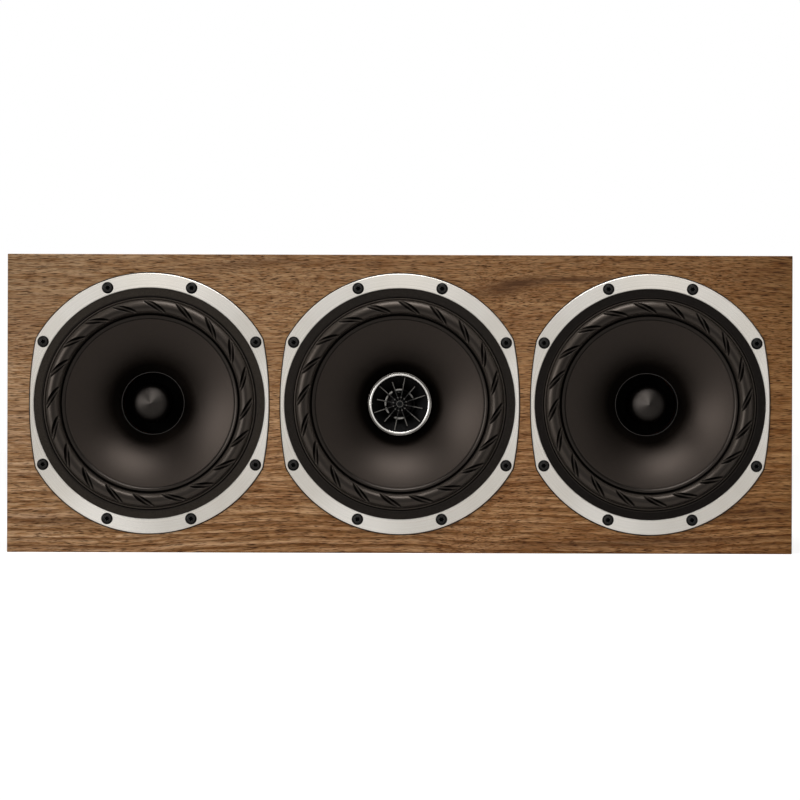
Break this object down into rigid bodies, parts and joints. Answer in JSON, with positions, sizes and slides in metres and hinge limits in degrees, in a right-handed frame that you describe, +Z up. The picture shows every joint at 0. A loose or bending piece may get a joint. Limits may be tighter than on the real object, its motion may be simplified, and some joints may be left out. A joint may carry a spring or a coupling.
{
  "type": "center channel speaker",
  "caption": "Wide veneered loudspeaker cabinet with a row of ten-inch coaxial and plug-centred drivers in turned metal rings, for a home cinema's centre channel.",
  "frame": {"origin": "middle of the underside that the cabinet rests on", "axes": "+X to the listener's right along the cabinet's length, +Z up, drivers face -Y"},
  "size_m": [0.7868, 0.3316, 0.299],
  "materials": {
    "walnut_veneer": "veneered board, satin lacquer",
    "brace_board": "raw board",
    "turned_aluminium": "fine turned, clear anodised",
    "black_steel": "black oxide",
    "insert_brass": "turned",
    "gasket_foam": "matte",
    "cast_frame": "cast, black powder coat",
    "surround_rubber": "matte moulded",
    "cone_pulp": "pressed pulp, dark",
    "coil_copper": "enamelled wire on a thin former",
    "spider_cloth": "pressed resin cloth",
    "plated_steel": "zinc plated",
    "ferrite": "sintered, ground",
    "plug_black": "satin black",
    "bezel_metal": "polished",
    "tweeter_black": "moulded, satin",
    "dome_metal": "bright foil",
    "terminal_black": "fine moulded grain",
    "post_gold": "gold plated",
    "nut_red": "moulded",
    "nut_black": "moulded",
    "board_ply": "raw plywood",
    "capacitor_film": "wrapped film",
    "inductor_copper": "enamelled wire",
    "resistor_ceramic": "cast body",
    "wire_jacket": "insulated lead"
  },
  "bodies": {
    "cabinet": {"front_baffle": "walnut_veneer", "rear_panel": "walnut_veneer", "top_panel": "walnut_veneer", "bottom_panel": "walnut_veneer", "left_panel": "walnut_veneer", "right_panel": "walnut_veneer", "left_brace": "brace_board", "right_brace": "brace_board", "left_trim_ring": "turned_aluminium", "center_trim_ring": "turned_aluminium", "right_trim_ring": "turned_aluminium", "driver_screws": "black_steel", "terminal_screws": "black_steel", "threaded_inserts": "insert_brass", "left_gasket": "gasket_foam", "center_gasket": "gasket_foam", "right_gasket": "gasket_foam", "left_basket": "cast_frame", "center_basket": "cast_frame", "right_basket": "cast_frame", "left_surround": "surround_rubber", "center_surround": "surround_rubber", "right_surround": "surround_rubber", "left_spider": "spider_cloth", "center_spider": "spider_cloth", "right_spider": "spider_cloth", "left_front_plate": "plated_steel", "left_pole_yoke": "plated_steel", "center_front_plate": "plated_steel", "center_pole_yoke": "plated_steel", "right_front_plate": "plated_steel", "right_pole_yoke": "plated_steel", "tweeter_motor": "plated_steel", "left_magnet": "ferrite", "center_magnet": "ferrite", "right_magnet": "ferrite", "left_phase_plug": "plug_black", "right_phase_plug": "plug_black", "tweeter_bezel": "bezel_metal", "tweeter_housing": "tweeter_black", "tweeter_fin_plug": "tweeter_black", "tweeter_diaphragm": "dome_metal", "terminal_plate": "terminal_black", "red_post": "post_gold", "black_post": "post_gold", "crossover_board": "board_ply", "crossover_capacitor": "capacitor_film", "crossover_inductor": "inductor_copper", "crossover_resistor": "resistor_ceramic", "wiring_harness": "wire_jacket"},
    "left_diaphragm": {"left_cone": "cone_pulp", "left_voice_coil": "coil_copper"},
    "center_diaphragm": {"center_cone": "cone_pulp", "center_voice_coil": "coil_copper"},
    "right_diaphragm": {"right_cone": "cone_pulp", "right_voice_coil": "coil_copper"},
    "red_washer": {"red_washer": "post_gold"},
    "red_nut": {"red_nut": "nut_red"},
    "black_washer": {"black_washer": "post_gold"},
    "black_nut": {"black_nut": "nut_black"}
  },
  "joints": [
    {"name": "left_cone_travel", "type": "slide", "parent": "cabinet", "child": "left_diaphragm", "axis": [0, -1, 0], "range_m": [-0.003, 0.003], "stiffness_N_per_m": 3000, "deforming": ["left_surround", "left_spider"]},
    {"name": "center_cone_travel", "type": "slide", "parent": "cabinet", "child": "center_diaphragm", "axis": [0, -1, 0], "range_m": [-0.003, 0.003], "stiffness_N_per_m": 3000, "deforming": ["center_surround", "center_spider"]},
    {"name": "right_cone_travel", "type": "slide", "parent": "cabinet", "child": "right_diaphragm", "axis": [0, -1, 0], "range_m": [-0.003, 0.003], "stiffness_N_per_m": 3000, "deforming": ["right_surround", "right_spider"]},
    {"name": "red_washer_slide", "type": "slide", "parent": "cabinet", "child": "red_washer", "axis": [0, 1, 0], "range_m": [0, 0.005]},
    {"name": "red_nut_turn", "type": "hinge", "parent": "red_washer", "child": "red_nut", "pos_m": [-0.00953, 0.1525, 0.075], "axis": [0, 1, 0], "range_deg": [0, 1800]},
    {"name": "black_washer_slide", "type": "slide", "parent": "cabinet", "child": "black_washer", "axis": [0, 1, 0], "range_m": [0, 0.005]},
    {"name": "black_nut_turn", "type": "hinge", "parent": "black_washer", "child": "black_nut", "pos_m": [0.00953, 0.1525, 0.075], "axis": [0, 1, 0], "range_deg": [0, 1800]}
  ],
  "couplings": [
    {"joint": "red_washer_slide", "follows": "red_nut_turn", "m_per_rad": 0.00015915},
    {"joint": "black_washer_slide", "follows": "black_nut_turn", "m_per_rad": 0.00015915}
  ]
}
